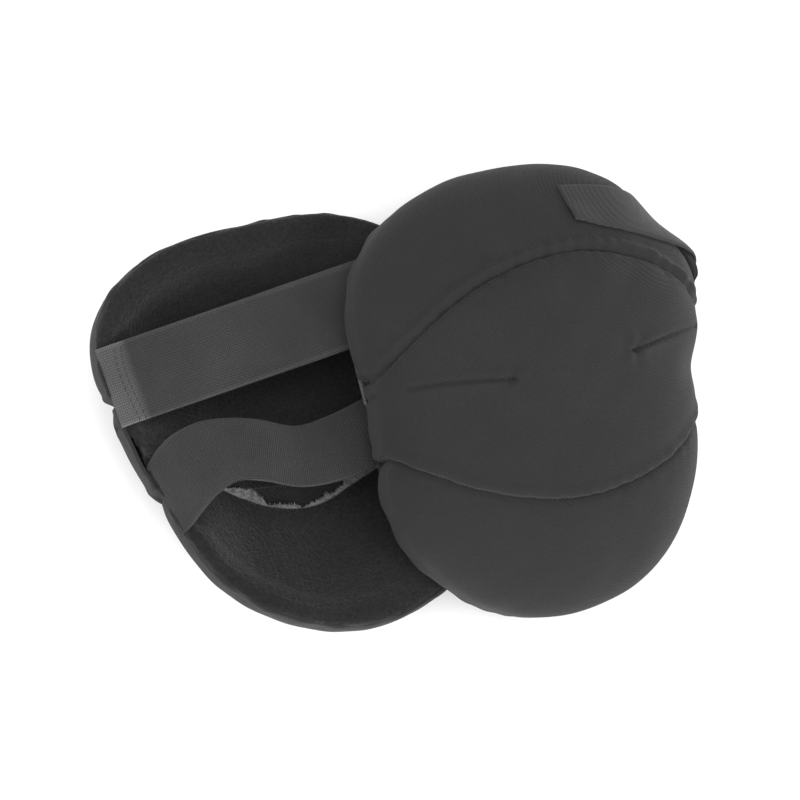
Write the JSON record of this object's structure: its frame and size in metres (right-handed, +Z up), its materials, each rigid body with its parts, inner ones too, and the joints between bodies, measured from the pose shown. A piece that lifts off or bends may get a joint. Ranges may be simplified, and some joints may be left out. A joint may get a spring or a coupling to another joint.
{
  "type": "knee pads",
  "caption": "Pair of soft foam-filled knee pads with sewn fabric covers, fleece linings, elastic straps and hook-tape tabs, stored one propped on the other.",
  "frame": {"origin": "middle of the bottom of the whole pair's box, on the ground", "axes": "+X from the left pad towards the right pad, +Y towards the thigh ends, +Z up"},
  "size_m": [0.3016, 0.2288, 0.1015],
  "materials": {
    "cover_fabric": "dark charcoal twill with a soft nap",
    "foam": "closed-cell foam",
    "fleece": "brushed fleece",
    "facing_fabric": "smooth woven binding with a slight sheen",
    "elastic": "woven elastic webbing, fine ribs",
    "tab_fabric": "smooth tape back",
    "hook_tape": "moulded nylon hooks",
    "thread": "polyester thread"
  },
  "bodies": {
    "left_pad": {"left_upper_cover_panel": "cover_fabric", "left_middle_cover_panel": "cover_fabric", "left_lower_cover_panel": "cover_fabric", "left_foam_insert": "foam", "left_upper_lining": "fleece", "left_lower_lining": "fleece", "left_pocket_facing": "facing_fabric", "left_dart_stitches": "thread", "left_upper_strap": "elastic", "left_lower_strap": "elastic", "left_strap_stitches": "thread"},
    "right_pad": {"right_upper_cover_panel": "cover_fabric", "right_middle_cover_panel": "cover_fabric", "right_lower_cover_panel": "cover_fabric", "right_foam_insert": "foam", "right_upper_lining": "fleece", "right_lower_lining": "fleece", "right_pocket_facing": "facing_fabric", "right_dart_stitches": "thread", "right_upper_strap": "elastic", "right_lower_strap": "elastic", "right_strap_stitches": "thread"},
    "left_tab": {"left_hook_tab": "tab_fabric", "left_hook_patch": "hook_tape"},
    "right_tab": {"right_hook_tab": "tab_fabric", "right_hook_patch": "hook_tape"}
  },
  "joints": [
    {"name": "right_pad_lift", "type": "slide", "parent": "left_pad", "child": "right_pad", "axis": [0, 0, 1], "range_m": [0, 0.12]},
    {"name": "left_hook_tab_peel", "type": "hinge", "parent": "left_pad", "child": "left_tab", "pos_m": [0.02018, 0.0587, 0.0466], "axis": [0.5553, -0.8246, -0.108], "range_deg": [0, 45]},
    {"name": "right_hook_tab_peel", "type": "hinge", "parent": "right_pad", "child": "right_tab", "pos_m": [0.13121, 0.07456, 0.00193], "axis": [-0.3705, 0.9183, 0.1393], "range_deg": [0, 60]}
  ]
}
